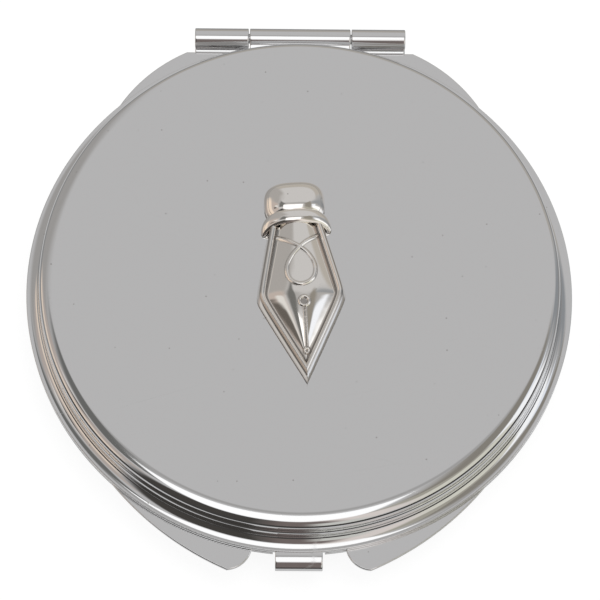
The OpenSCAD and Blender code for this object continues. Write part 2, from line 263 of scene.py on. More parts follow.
def open_bay(bm: Skin, half_width: float, back: float) -> None:
    """Cuts a square bay for the thumb tab into the front edge of a skin.

    Args:
        bm: the skin.
        half_width: half of the bay's width.
        back: front-back place of the bay's end.
    """
    def within(place: Vector, room: float) -> bool:
        """Tells whether a place lies in the bay widened by some room."""
        return place.y < back + room and abs(place.x) < half_width + room

    # Only faces this close behind and beside the bay are cut.
    behind, beside = 2.0, 8.0
    walls = ((0, half_width), (0, -half_width), (1, back))
    for axis, place in walls:
        near = [f for f in bm.faces
                if (middle := f.calc_center_median()).y < back + behind and abs(middle.x) < beside]
        around = {e for f in near for e in f.edges} | {v for f in near for v in f.verts}
        way = Vector((1 - axis, axis, 0))
        bmesh.ops.bisect_plane(bm, geom=near + list(around), dist=CUT, plane_co=way * place, plane_no=way)
    inside = [f for f in bm.faces if within(f.calc_center_median(), -WELD)]
    bmesh.ops.delete(bm, geom=inside, context="FACES")
    for x in (-half_width, half_width):
        corner = [v for v in bm.verts
                  if abs(v.co.x - x) < WELD and abs(v.co.y - back) < WELD and v.is_boundary]
        if len(corner) == 2:
            bm.edges.new(corner)
    for axis, place in walls:
        rim = [e for e in bm.edges if (e.is_boundary or e.is_wire)
               and all(abs(v.co[axis] - place) < WELD and within(v.co, WELD) for v in e.verts)]
        bmesh.ops.contextual_create(bm, geom=rim)
    outwards(bm)


def add_object(name: str, data: bpy.types.ID) -> bpy.types.Object:
    """Puts an object with some data into the scene.

    Args:
        name: the object's name.
        data: its mesh, light or camera.

    Returns:
        The object.
    """
    made = bpy.data.objects.new(name, data)
    bpy.context.scene.collection.objects.link(made)
    return made


# Finishes


class NodeSheet:
    """Short ways to add and join shader nodes."""

    def __init__(self, tree: bpy.types.NodeTree) -> None:
        """Starts on a node tree."""
        self.tree = tree

    @classmethod
    def clean(cls, owner: bpy.types.Material | bpy.types.World) -> "NodeSheet":
        """Starts on the emptied nodes of a material or a world.

        Args:
            owner: the material or the world.

        Returns:
            The sheet.
        """
        owner.use_nodes = True
        owner.node_tree.nodes.clear()
        return cls(owner.node_tree)

    def feed(self, into: Socket, value: object) -> None:
        """Links an input to a socket, or sets it to a value.

        Args:
            into: the input.
            value: a value or a socket.
        """
        if isinstance(value, Socket):
            self.tree.links.new(value, into)
        else:
            into.default_value = value

    def add(self, kind: str, *given: object, **values: object) -> bpy.types.Node:
        """Adds a node.

        Args:
            kind: the node's type.
            given: values or sockets for the node's first inputs, in their order.
            values: attributes of the node, or values and sockets under an input's name with _ for spaces.

        Returns:
            The node.
        """
        node = self.tree.nodes.new(kind)
        for key, value in values.items():
            if hasattr(node, key):
                setattr(node, key, value)
            else:
                self.feed(node.inputs[key.replace("_", " ")], value)
        for into, value in zip(node.inputs, given):
            self.feed(into, value)
        return node

    def math(self, operation: str, a: object, b: object = 0.0, c: object = 0.0,
             clamp: bool = False) -> Socket:
        """Returns the result of a math node on values or sockets, kept from 0 to 1 where clamp is set."""
        return self.add("ShaderNodeMath", a, b, c, operation=operation, use_clamp=clamp).outputs[0]

    def spread(self, value: Socket, low: float, high: float, to_low: float = 0.0,
               to_high: float = 1.0) -> Socket:
        """Returns a value spread from between low and high to between to_low and to_high, with eased ends."""
        return self.add("ShaderNodeMapRange", value, low, high, to_low, to_high,
                        interpolation_type="SMOOTHSTEP").outputs["Result"]

    def mix(self, share: Socket, first: object, second: object) -> Socket:
        """Returns a first colour with a share of a second over it, each a value or a socket.

        Args:
            share: how much the second covers.
            first: the colour below.
            second: the colour above.

        Returns:
            The result's socket.
        """
        node = self.add("ShaderNodeMix", share, data_type="RGBA")
        self.feed(node.inputs[6], first)
        self.feed(node.inputs[7], second)
        return node.outputs[2]

    def either(self, share: Socket, first: bpy.types.Node, second: bpy.types.Node) -> bpy.types.Node:
        """Returns the node that passes from one shader to a second by a share."""
        return self.add("ShaderNodeMixShader", share, first.outputs[0], second.outputs[0])


def handling_marks() -> bpy.types.NodeTree:
    """Returns the group of hairlines, specks, smudges and waves that handled metal shows.

    Returns:
        The group's node tree.
    """
    # Heights in metres: how deep a hairline is cut, and how high a speck stands.
    line_depth, speck_height = 1.2e-6, 3e-6
    group = bpy.data.node_groups.new("handling_marks", "ShaderNodeTree")
    group.interface.new_socket(name="Place", in_out="INPUT", socket_type="NodeSocketVector")
    for name in ("Hairline Size", "Hairline Amount", "Speck Size", "Speck Amount", "Wave Size",
                 "Wave Height"):
        group.interface.new_socket(name=name, in_out="INPUT", socket_type="NodeSocketFloat")
    for name in ("Hairlines", "Specks", "Smudges", "Height"):
        group.interface.new_socket(name=name, in_out="OUTPUT", socket_type="NodeSocketFloat")
    sheet = NodeSheet(group)
    asked = sheet.add("NodeGroupInput").outputs

    lines = None
    for turn, stretch, seed in ((0.35, 1.0, 0.0), (1.9, 0.8, 3.7), (2.6, 1.3, 8.1)):
        turned = sheet.add("ShaderNodeMapping", vector_type="POINT", Vector=asked["Place"],
                           Location=(seed, seed * 0.7, 0), Rotation=(0, 0, turn), Scale=(0.16, stretch, 0.6))
        grain = {"Vector": turned.outputs[0], "Scale": asked["Hairline Size"]}
        cells = sheet.add("ShaderNodeTexVoronoi", feature="DISTANCE_TO_EDGE", Randomness=1.0, **grain)
        broken = sheet.add("ShaderNodeTexNoise", Detail=2.0, **grain)
        line = sheet.math("MULTIPLY", sheet.spread(cells.outputs["Distance"], 0.0, 0.012, 1.0, 0.0),
                          sheet.spread(broken.outputs["Fac"], 0.55, 0.68))
        lines = line if lines is None else sheet.math("MAXIMUM", lines, line)
    lines = sheet.math("MULTIPLY", lines, asked["Hairline Amount"])

    dust = sheet.add("ShaderNodeTexVoronoi", feature="F1", Randomness=1.0, Vector=asked["Place"],
                     Scale=asked["Speck Size"])
    dots = sheet.math("MULTIPLY", sheet.spread(dust.outputs["Distance"], 0.05, 0.11, 1.0, 0.0),
                      sheet.spread(dust.outputs["Color"], 0.72, 0.78))
    specks = sheet.math("MULTIPLY", dots, asked["Speck Amount"])

    swell = {"Vector": asked["Place"], "Scale": asked["Wave Size"]}
    smear = sheet.add("ShaderNodeTexNoise", Detail=4.0, Roughness=0.6, Distortion=0.6, **swell)
    smudges = sheet.spread(smear.outputs["Fac"], 0.42, 0.7)
    wave = sheet.add("ShaderNodeTexNoise", Detail=1.0, Roughness=0.3, **swell)
    height = sheet.math("MULTIPLY", wave.outputs["Fac"], asked["Wave Height"])
    height = sheet.math("SUBTRACT", height, sheet.math("MULTIPLY", lines, line_depth))
    height = sheet.math("ADD", height, sheet.math("MULTIPLY", specks, speck_height))
    sheet.add("NodeGroupOutput", Hairlines=lines, Specks=specks, Smudges=smudges, Height=height)
    return group


MARKS = handling_marks()


@dataclass(frozen=True)
class MetalFinish:
    """Surface with the marks of handling, and with painted shade where its mesh carries it. The marks' sizes
    are counts per metre, and their heights metres.
    """

    name: str
    color: Color
    roughness: float = 0.035
    smudge_roughness: float = 0.03
    hairline_roughness: float = 0.22
    speck_roughness: float = 0.4
    # Roughness that the painted shade adds.
    painted_shade_roughness: float = 0.2
    hairline_size: float = 160.0
    hairline_amount: float = 0.6
    speck_size: float = 700.0
    speck_amount: float = 0.5
    speck_color: Color = (0.42, 0.4, 0.38)
    wave_size: float = 90.0
    wave_height: float = 6e-7
    metallic: float = 1.0
    coat: float = 0.0
    # Strength and colour of the painted shade that the mesh carries, darkening the hollows where shade falls.
    painted_shade: float = 0.0
    painted_shade_color: Color = (0.1, 0.08, 0.07)

    def build(self) -> bpy.types.Material:
        """Returns the material.

        Returns:
            The material.
        """
        material = bpy.data.materials.new(self.name)
        sheet = NodeSheet.clean(material)
        place = sheet.add("ShaderNodeTexCoord").outputs["Object"]
        marks = sheet.add("ShaderNodeGroup", node_tree=MARKS, Place=place,
                          Hairline_Size=self.hairline_size, Hairline_Amount=self.hairline_amount,
                          Speck_Size=self.speck_size, Speck_Amount=self.speck_amount,
                          Wave_Size=self.wave_size, Wave_Height=self.wave_height).outputs
        tint = sheet.mix(marks["Specks"], (*self.color, 1), (*self.speck_color, 1))
        rough = sheet.math("MULTIPLY", marks["Smudges"], self.smudge_roughness)
        rough = sheet.math("ADD", rough, self.roughness)
        # Painted shade: the attribute read from the mesh darkens the colour and adds roughness.
        if self.painted_shade:
            sunk = sheet.add("ShaderNodeAttribute", attribute_name="painted_shade")
            share = sheet.math("MULTIPLY", sunk.outputs["Fac"], self.painted_shade, clamp=True)
            tint = sheet.mix(share, tint, (*self.painted_shade_color, 1))
            rough = sheet.math("ADD", rough, sheet.math("MULTIPLY", share, self.painted_shade_roughness))
        lined = sheet.math("MULTIPLY", marks["Hairlines"], self.hairline_roughness)
        specked = sheet.math("MULTIPLY", marks["Specks"], self.speck_roughness)
        rough = sheet.math("ADD", sheet.math("ADD", rough, lined), specked, clamp=True)
        bump = sheet.add("ShaderNodeBump", Strength=1.0, Distance=1.0, Height=marks["Height"])
        shader = sheet.add("ShaderNodeBsdfPrincipled", Base_Color=tint, Roughness=rough,
                           Normal=bump.outputs[0], Metallic=self.metallic, Coat_Weight=self.coat)
        sheet.add("ShaderNodeOutputMaterial", shader.outputs[0])
        return material


class Finish(Enum):
    """Finishes of the compact's pieces."""

    CHROME = MetalFinish("polished_chrome", (0.80, 0.80, 0.805))
    # The emblem's mesh carries painted shade in its hollows.
    EMBLEM = MetalFinish("cast_emblem_chrome", (0.97, 0.94, 0.905), roughness=0.05, wave_size=600.0,
                         wave_height=1.2e-5, hairline_amount=0.3, painted_shade=0.8)
    PIN = MetalFinish("drawn_pin_steel", (0.56, 0.56, 0.57), roughness=0.22, hairline_size=500.0)
    SPRING = MetalFinish("rolled_spring_steel", (0.6, 0.61, 0.63), roughness=0.18, hairline_size=600.0)
    MIRROR = MetalFinish("silvered_glass", (0.9, 0.915, 0.91), roughness=0.008, smudge_roughness=0.012,
                         hairline_amount=0.05, speck_amount=0.25, speck_size=500.0, wave_height=0.0, coat=1.0)
    BEZEL = MetalFinish("silver_bezel_plastic", (0.62, 0.62, 0.63), roughness=0.3, metallic=0.55,
                        hairline_amount=0.2, wave_height=2e-6)
    BOARD = MetalFinish("grey_backing_board", (0.36, 0.33, 0.29), roughness=0.9, metallic=0.0,
                        wave_height=3e-5, wave_size=900.0)
    ADHESIVE = MetalFinish("cured_adhesive", (0.62, 0.56, 0.42), roughness=0.25, metallic=0.0)

    @cache
    def material(self) -> bpy.types.Material:
        """Returns the finish's material, built the first time that it is asked for."""
        return self.value.build()


class Shade(Enum):
    """Ways to shade a piece."""

    SMOOTH = "smooth all over"
    WEIGHTED = "flat faces kept flat beside roundings"
    SQUARE = "filled faces square to an axis truly flat"


def finish_piece(bm: Skin, name: str, body: str, node: str, finish: Finish,
                 shade: Shade = Shade.WEIGHTED) -> None:
    """Turns a skin in millimetres into a piece that rides on a body.

    Args:
        bm: the skin, freed here.
        name: name of the piece.
        body: the body that it rides on.
        node: the node that it stands for.
        finish: the piece's finish.
        shade: the way that it is shaded.
    """
    bmesh.ops.scale(bm, vec=(MM, MM, MM), verts=bm.verts[:])
    bm.normal_update()
    level = 0.9999
    for face in bm.faces:
        square = max(abs(part) for part in face.normal) > level
        face.smooth = not (shade is Shade.SQUARE and square and len(face.verts) != 4)
    mesh = bpy.data.meshes.new(name)
    bm.to_mesh(mesh)
    bm.free()
    mesh.materials.append(finish.material())
    piece = add_object(name, mesh)
    if shade is Shade.WEIGHTED:
        smooth = piece.modifiers.new("flat_faces", "WEIGHTED_NORMAL")
        smooth.weight = 80
        smooth.keep_sharp = True
    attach(piece, body)
    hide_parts(node)
    LOG.info("%s: %d faces, on %s", name, len(mesh.polygons), body)


# Shared sizes


@dataclass(frozen=True)
class Stack:
    """Heights and radii that the pieces share, in millimetres."""

    case_r: float = 35.0
    half_depth: float = 4.75
    plate_t: float = 0.55
    seam_gap: float = 0.1
    hole_r: float = 30.6
    plate_soft: float = 0.12
    roll_soft: float = 0.16
    hinge_y: float = 35.7
    hinge_up: float = 0.25
    barrel_r: float = 1.25
    bore_r: float = 0.7
    knuckle_x: float = 6.72
    side_x: float = 6.88
    hinge_x: float = 14.05
    hinge_notch_y: float = 34.17
    ring_notch_y: float = 33.95
    tab_y: float = -35.81
    tab_r: float = 1.2
    tab_x: float = 2.93
    tab_room: float = 0.3

    @property
    def bay_x(self) -> float:
        """Half of the width of the bay that the base leaves for the thumb tab."""
        return self.tab_x + self.tab_room

    @property
    def bay_y(self) -> float:
        """Back end of that bay."""
        return self.tab_y + self.tab_r + self.tab_room

    @property
    def base_face_z(self) -> float:
        """Top of the base plate, whose underside is at half_depth."""
        return self.half_depth + self.plate_t

    @property
    def lid_face_z(self) -> float:
        """Underside of the lid plate."""
        return self.base_face_z + self.seam_gap

    @property
    def lid_plate_z(self) -> float:
        """Top of the lid plate."""
        return self.lid_face_z + self.plate_t

    @property
    def lid_top_z(self) -> float:
        """Flat top of the lid."""
        return self.lid_plate_z + self.half_depth

    @property
    def hinge_z(self) -> float:
        """Height of the hinge pin."""
        return self.lid_plate_z + self.hinge_up


STACK = Stack()


class Half(Enum):
    """The two halves of the case."""

    BASE = "base"
    LID = "lid"

    def place(self, bm: Skin, inwards: bool = False) -> None:
        """Moves a skin into the half, drawn out from its plate's outer face or in from the inner one.

        Args:
            bm: the skin, drawn upwards from zero.
            inwards: whether it is measured from the plate's inner face.
        """
        if self is Half.LID:
            rise = STACK.lid_face_z if inwards else STACK.lid_plate_z
        else:
            rise = STACK.base_face_z if inwards else STACK.half_depth
            bmesh.ops.scale(bm, vec=(1, 1, -1), verts=bm.verts[:])
            outwards(bm)
        move(bm, (0, 0, rise))

    def piece(self, bm: Skin, name: str, node: str, slot: str, finish: Finish) -> None:
        """Finishes a skin as this half's piece for this half's node."""
        finish_piece(bm, f"{self.value}_{name}", self.value, f"{self.value}_{node}", finish)


# Shells and mirrors


@dataclass
class Cover:
    """Pressed cover with a rolled shoulder and a skirt."""

    half: Half
    skirt_r: float = 33.1
    skirt_chamfer: float = 0.06
    seam_h: float = 2.5
    sheet: float = 0.5
    corner_r: float = 1.05
    dome_r: float = 5.6
    shoulder: float = 78.0
    flat_rings: tuple[float, ...] = (0.97, 0.8, 0.5, 0.2)

    def build(self) -> None:
        """Builds and dresses the cover."""
        top = STACK.half_depth
        lean = math.radians(self.shoulder)
        flat_r = self.skirt_r - self.corner_r - (self.dome_r - self.corner_r) * math.cos(lean)
        corner_h = top - self.dome_r + (self.dome_r - self.corner_r) * math.sin(lean)
        corner = self.skirt_r - self.corner_r
        pen = Pen(self.skirt_r, self.seam_h + self.skirt_chamfer)
        pen.line(self.skirt_r, corner_h).arc(corner, corner_h, self.shoulder, 14)
        pen.arc(flat_r, top - self.dome_r, 90 - self.shoulder, 8)
        for share in self.flat_rings:
            pen.line(flat_r * share, top)
        pen.line(0, top).line(0, top - self.sheet).line(flat_r, top - self.sheet)
        pen.arc(flat_r, top - self.dome_r, self.shoulder - 90, 4)
        pen.arc(corner, corner_h, -self.shoulder, 6)
        pen.line(self.skirt_r - self.sheet, self.seam_h)
        pen.line(self.skirt_r - self.skirt_chamfer, self.seam_h).close()
        bm = pen.lathe()
        self.half.place(bm)
        self.half.piece(bm, "cover_shell", "cover", "polished_chrome", Finish.CHROME)


@dataclass
class FrameRing:
    """Ring with a flange and a hollow wall."""

    half: Half
    edge_t: float = 0.25
    edge_soft: float = 0.07
    land_w: float = 0.18
    flare_r: float = 2.5
    flare: float = 18.0
    cove_r: float = 1.1
    cove: float = 65.5
    seam_r: float = 33.15
    seam_h: float = 2.5
    lip_h: float = 0.9
    lip_r: float = 32.55
    sheet: float = 0.4
    inner_r: float = 33.3

    def bell(self, pen: Pen) -> None:
        """Draws the flange's flat land, its flare and the hollow wall up to the seam.

        Args:
            pen: the pen, at the flange's rim.
        """
        start = STACK.case_r - self.land_w
        pen.line(start, self.edge_t).arc(start, self.edge_t + self.flare_r, -self.flare, 10)
        turn = math.radians(self.flare)
        r = start - self.flare_r * math.sin(turn)
        h = self.edge_t + self.flare_r * (1 - math.cos(turn))
        pen.arc(r + self.cove_r * math.sin(turn), h + self.cove_r * math.cos(turn), -self.cove, 16)
        pen.line(self.seam_r, self.seam_h)

    def build(self) -> None:
        """Builds and dresses the ring."""
        edge, soft = STACK.case_r, self.edge_soft
        pen = Pen(edge - soft, 0.0)
        pen.arc(edge - soft, soft, 90, 3)
        pen.line(edge, self.edge_t - soft).arc(edge - soft, self.edge_t - soft, 90, 4)
        self.bell(pen)
        pen.line(self.lip_r, self.seam_h).line(self.lip_r, self.seam_h + self.lip_h)
        pen.line(self.lip_r - self.sheet, self.seam_h + self.lip_h)
        pen.line(self.lip_r - self.sheet, self.seam_h - self.sheet)
        pen.line(self.inner_r, self.edge_t).line(self.inner_r, 0.0).close()
        bm = pen.lathe()
        self.half.place(bm)
        if self.half is Half.LID:
            cut = bmesh.ops.bisect_plane(bm, geom=whole(bm), dist=CUT, plane_co=(0, STACK.ring_notch_y, 0),
                                         plane_no=(0, 1, 0), clear_outer=True)
            rim = [e for e in cut["geom_cut"] if isinstance(e, bmesh.types.BMEdge)]
            bmesh.ops.contextual_create(bm, geom=rim)
        else:
            open_bay(bm, STACK.bay_x, STACK.bay_y)
        self.half.piece(bm, "flanged_ring", "frame_ring", "polished_chrome", Finish.CHROME)


@dataclass
class MirrorStack:
    """Mirror glass and the bezel that holds it."""

    half: Half
    bezel_r: float = 30.55
    bezel_soft: float = 0.12
    lip_w: float = 2.15
    lip_t: float = 0.45
    inset: float = 0.15
    wall: float = 0.4
    glass_t: float = 1.8
    glass_r: float = 30.1
    chamfer: float = 0.25
    glass_soft: float = 0.05
    steps: int = 192

    @property
    def face(self) -> float:
        """Depth of the glass's face."""
        return self.inset + self.lip_t

    @property
    def back(self) -> float:
        """Depth of the glass's back."""
        return self.face + self.glass_t

    def glass(self) -> None:
        """Builds the bevelled mirror glass."""
        pen = Pen(0, self.face)
        pen.line(self.glass_r / 2, self.face).line(self.glass_r - self.chamfer, self.face)
        pen.line(self.glass_r, self.face + self.chamfer).line(self.glass_r, self.back).line(0, self.back)
        bm = pen.lathe(self.steps)
        soften(bm, self.glass_soft, 25, 2)
        self.half.place(bm, inwards=True)
        self.half.piece(bm, "mirror_glass", "mirror", "mirror_glass", Finish.MIRROR)

    def bezel(self) -> None:
        """Builds the ring that holds the glass."""
        inner, outer, soft, round_r = self.bezel_r - self.lip_w, self.bezel_r, self.bezel_soft, self.lip_t / 2
        pen = Pen(inner, self.face)
        pen.line(inner, self.inset + round_r).arc(inner + round_r, self.inset + round_r, 90, 6)
        pen.line(outer - soft, self.inset).arc(outer - soft, self.inset + soft, 90, 4)
        pen.line(outer, self.back).line(outer - self.wall, self.back).line(outer - self.wall, self.face)
        bm = pen.close().lathe(self.steps)
        self.half.place(bm, inwards=True)
        self.half.piece(bm, "mirror_bezel", "bezel", "bezel_plastic", Finish.BEZEL)

    def build(self) -> None:
        """Builds both pieces."""
        self.glass()
        self.bezel()


# Plates, hinge and thumb tab


def plate_sheet(outline: Pen, holes: Sequence[Pen], low: float) -> Skin:
    """Fills an outline around its holes and gives it the plates' thickness.

    Args:
        outline: the closed outline.
        holes: closed outlines of the holes.
        low: height of the sheet's underside.

    Returns:
        The closed skin.
    """
    bm = outline.bm
    for hole in holes:
        merge(bm, hole.bm)
    bmesh.ops.triangle_fill(bm, edges=bm.edges[:], use_beauty=True)
    pull(bm, bm.faces[:], Vector((0, 0, STACK.plate_t)))
    move(bm, (0, 0, low))
    soften(outwards(bm), STACK.plate_soft, 60, clamp=False)
    return bm


def ring_wire(radius: float, x: float = 0.0, y: float = 0.0, steps: int = 24) -> Pen:
    """Draws a circle flat about x and y."""
    return Pen(x + radius, y, Plane.FLAT).arc(x, y, 360, steps).close()


def slot_wire(half_width: float, front: float, back: float) -> Pen:
    """Draws a rectangle flat about the middle line."""
    pen = Pen(-half_width, front, Plane.FLAT)
    return pen.line(half_width, front).line(half_width, back).line(-half_width, back).close()


def rolled_sheet(pen: Pen, x0: float, x1: float) -> Skin:
    """Pulls the section of a rolled sheet from x0 to x1 and rounds its sharp edges.

    Args:
        pen: the closed section, seen from the hinge's end.
        x0: where the sheet starts.
        x1: where it ends.

    Returns:
        The skin.
    """
    bm = pen.bm
    pull(bm, bmesh.ops.contextual_create(bm, geom=bm.edges[:])["faces"], Vector((x1 - x0, 0, 0)))
    move(outwards(bm), (x0, 0, 0))
    soften(bm, STACK.roll_soft, 50)
    # Two cuts beside the roundings keep the shading of the flat length even.
    for x in (x0 + 1.5 * STACK.roll_soft, x1 - 1.5 * STACK.roll_soft):
        bmesh.ops.bisect_plane(bm, geom=whole(bm), dist=CUT, plane_co=(x, 0, 0), plane_no=(1, 0, 0))
    return bm


def press_oval(bm: Skin, squeeze: float = 0.09, angle: float = 77.0, behind: float = 0.4) -> Skin:
    """Presses a hinge barrel a little oval, flatter towards the top front.

    Args:
        bm: the barrel.
        squeeze: share of the radius that is taken or added.
        angle: angle in degrees over the front at which it is flattest.
        behind: share of the squeeze that reaches the other side.

    Returns:
        The same skin.
    """
    inside, outside = 0.2, 0.02
    for vert in bm.verts:
        y, z = vert.co.y - STACK.hinge_y, vert.co.z - STACK.hinge_z
        if STACK.barrel_r - inside < math.hypot(y, z) < STACK.barrel_r + outside:
            turn = math.atan2(z, -y) - math.radians(angle)
            scale = 1 - squeeze * math.cos(2 * turn) * (behind if math.cos(turn) < 0 else 1.0)
            vert.co.y, vert.co.z = STACK.hinge_y + y * scale, STACK.hinge_z + z * scale
    return bm


@dataclass
class BasePlate:
    """Ring plate with two ears, two wings and the outer knuckles."""

    ear_angle: float = 45.5
    ear_r: float = 21.0
    ear_x: float = 15.15
    ear_y: float = 34.1
    wing_angle: float = 48.0
    wing_r: float = 38.7
    wing_x: float = 8.9
    wing_y: float = -37.0
    wing_end_r: float = 3.3
    gap_x: float = 5.85
    rivet_x: float = 5.0
    rivet_y: float = -31.65
    rivet_r: float = 0.42
    slot: Triple = (2.55, -32.3, -31.55)
    roll_from: float = -102.0
    roll: float = 316.0
    root_gap: float = 0.005
    # Distances behind the ear's edge and over the plate's under and upper face, where the knuckle leaves it.
    heel: Points = ((-0.25, 0.0), (0.55, 0.0), (0.95, 0.05))
    throat: Points = (
        (0.62, 0.16), (0.45, 0.115), (0.25, 0.06), (0.08, 0.02), (-0.06, -0.005), (-0.25, -0.01))

    def outline(self) -> Pen:
        """Draws the plate's outline from the right side round by the hinge.

        Returns:
            The pen, with the outline closed.
        """
        edge, bay_x, bay_y = STACK.case_r, STACK.bay_x, STACK.bay_y
        root_y = -math.sqrt(edge ** 2 - self.gap_x ** 2)
        bay_edge_y = -math.sqrt(edge ** 2 - bay_x ** 2)
        step = math.degrees(math.asin(self.gap_x / edge) - math.asin(bay_x / edge))
        ear, wing = math.radians(self.ear_angle), math.radians(self.wing_angle)
        pen = Pen(edge, 0, Plane.FLAT)
        pen.arc(0, 0, self.ear_angle, 40).bend(self.ear_x, self.ear_y, self.ear_r)
        pen.line(-self.ear_x, self.ear_y).bend(-edge * math.cos(ear), edge * math.sin(ear), self.ear_r)
        pen.arc(0, 0, self.ear_angle + self.wing_angle, 80)
        pen.bend(-self.wing_x, self.wing_y, self.wing_r, 20)
        pen.bend(-self.gap_x, root_y, self.wing_end_r, 14).arc(0, 0, step, 4)
        pen.line(-bay_x, bay_y).line(bay_x, bay_y).line(bay_x, bay_edge_y).arc(0, 0, step, 4)
        pen.bend(self.wing_x, self.wing_y, self.wing_end_r, 14)
        pen.bend(edge * math.cos(wing), -edge * math.sin(wing), self.wing_r, 20)
        return pen.arc(0, 0, self.wing_angle, 40).close()

    def knuckle(self, x0: float, x1: float) -> Skin:
        """Rolls one outer knuckle out of the plate's edge, round behind the pin and over it.

        Args:
            x0: the knuckle's left end.
            x1: its right end.

        Returns:
            The skin.
        """
        y, z, low = STACK.hinge_y, STACK.hinge_z, STACK.half_depth + self.root_gap
        (back, up), *heel = self.heel
        pen = Pen(self.ear_y + back, low + up, Plane.END)
        for back, up in heel:
            pen.line(self.ear_y + back, low + up)
        pen.line(*polar(y, z, STACK.barrel_r, self.roll_from)).arc(y, z, self.roll, 56)
        pen.line(*polar(y, z, STACK.bore_r, self.roll_from + self.roll)).arc(y, z, -self.roll, 40)
        for back, up in self.throat:
            pen.line(self.ear_y + back, STACK.base_face_z + up)
        return press_oval(rolled_sheet(pen.close(), x0, x1))

    def build(self) -> None:
        """Builds and dresses the plate."""
        holes = [ring_wire(STACK.hole_r, steps=160), slot_wire(*self.slot)]
        holes += [ring_wire(self.rivet_r, side * self.rivet_x, self.rivet_y) for side in (-1, 1)]
        bm = plate_sheet(self.outline(), holes, STACK.half_depth)
        for x0, x1 in ((-STACK.hinge_x, -STACK.side_x), (STACK.side_x, STACK.hinge_x)):
            merge(bm, self.knuckle(x0, x1))
        finish_piece(bm, "base_winged_plate", "base", "base_plate", Finish.CHROME,
                     Shade.SQUARE)


@dataclass
class LidPlate:
    """Ring plate with the middle knuckle on its leaf, and the rolled thumb tab."""

    leaf_y: float = 33.3
    leaf_h: float = 0.39
    leaf_slope: float = 20.0
    leaf_gap: float = 0.05
    leaf_back: float = 0.1
    # Distances along the leaf, and how far it bends up there over its slope.
    leaf_line: Points = (
        (0.5, 0.0), (0.8, 0.0), (1.0, 0.0), (1.16, 0.0), (1.25, 0.01), (1.31, 0.035), (1.36, 0.075))
    roll_from: float = 143.0
    roll_to: float = -112.0
    slot: Triple = (2.7, -32.5, -31.2)
    tab_front: float = -36.98
    tab_root: float = 1.3
    tab_gap: float = 0.005
    tab_bend: float = 20.0
    tab_bend_r: float = 2.6
    tab_roll: float = 290.0
    tab_roll_r: float = 1.14

    def outline(self) -> Pen:
        """Draws the round outline with its straight edge at the hinge.

        Returns:
            The pen, with the outline closed.
        """
        edge = STACK.case_r
        notch = math.degrees(math.asin(STACK.hinge_notch_y / edge))
        half = edge * math.cos(math.radians(notch))
        pen = Pen(half, STACK.hinge_notch_y, Plane.FLAT).line(-half, STACK.hinge_notch_y)
        return pen.arc(0, 0, 180 + 2 * notch, 336).close()

    def knuckle(self) -> Skin:
        """Rolls the middle knuckle out of a leaf that climbs from the flange and over the pin.

        Returns:
            The skin.
        """
        y, z, top = STACK.hinge_y, STACK.hinge_z, STACK.lid_plate_z
        roll = self.roll_from - self.roll_to
        slope = math.tan(math.radians(self.leaf_slope))
        pen = Pen(self.leaf_y, top + self.leaf_gap, Plane.END).line(self.leaf_y, top + self.leaf_h)
        for along, bend in self.leaf_line:
            pen.line(self.leaf_y + along, top + self.leaf_h + (along * slope + bend))
        pen.line(*polar(y, z, STACK.barrel_r, self.roll_from)).arc(y, z, -roll, 48)
        pen.line(*polar(y, z, STACK.bore_r, self.roll_to)).arc(y, z, roll, 36)
        pen.line(STACK.hinge_notch_y + self.leaf_back, top + self.leaf_gap).close()
        return press_oval(rolled_sheet(pen, -STACK.knuckle_x, STACK.knuckle_x))

    def tab(self) -> Skin:
        """Bends the thumb tab gently down from the plate's front edge and rolls it round under itself.

        Returns:
            The skin.
        """
        bend = math.radians(self.tab_bend)
        pivot = STACK.lid_plate_z - self.tab_bend_r
        y = self.tab_front + self.tab_roll_r
        start = y + (self.tab_bend_r - self.tab_roll_r) * math.sin(bend)
        z = pivot + (self.tab_bend_r - self.tab_roll_r) * math.cos(bend)
        root = self.tab_root - STACK.case_r
        pen = Pen(root, STACK.lid_plate_z - self.tab_gap, Plane.END)
        pen.line(start, STACK.lid_plate_z).arc(start, pivot, self.tab_bend, 10)
        pen.arc(y, z, self.tab_roll - self.tab_bend, 50)
        pen.line(*polar(y, z, self.tab_roll_r - STACK.plate_t, 90 + self.tab_roll))
        pen.arc(y, z, self.tab_bend - self.tab_roll, 36).arc(start, pivot, -self.tab_bend, 6)
        pen.line(root, STACK.lid_face_z + self.tab_gap).close()
        return rolled_sheet(pen, -STACK.tab_x, STACK.tab_x)

    def build(self) -> None:
        """Builds and dresses the plate."""
        holes = [ring_wire(STACK.hole_r, steps=160), slot_wire(*self.slot)]
        bm = plate_sheet(self.outline(), holes, STACK.lid_face_z)
        merge(bm, self.knuckle())
        merge(bm, self.tab())
        finish_piece(bm, "lid_tabbed_plate", "lid", "lid_plate", Finish.CHROME,
                     Shade.SQUARE)


# Emblem


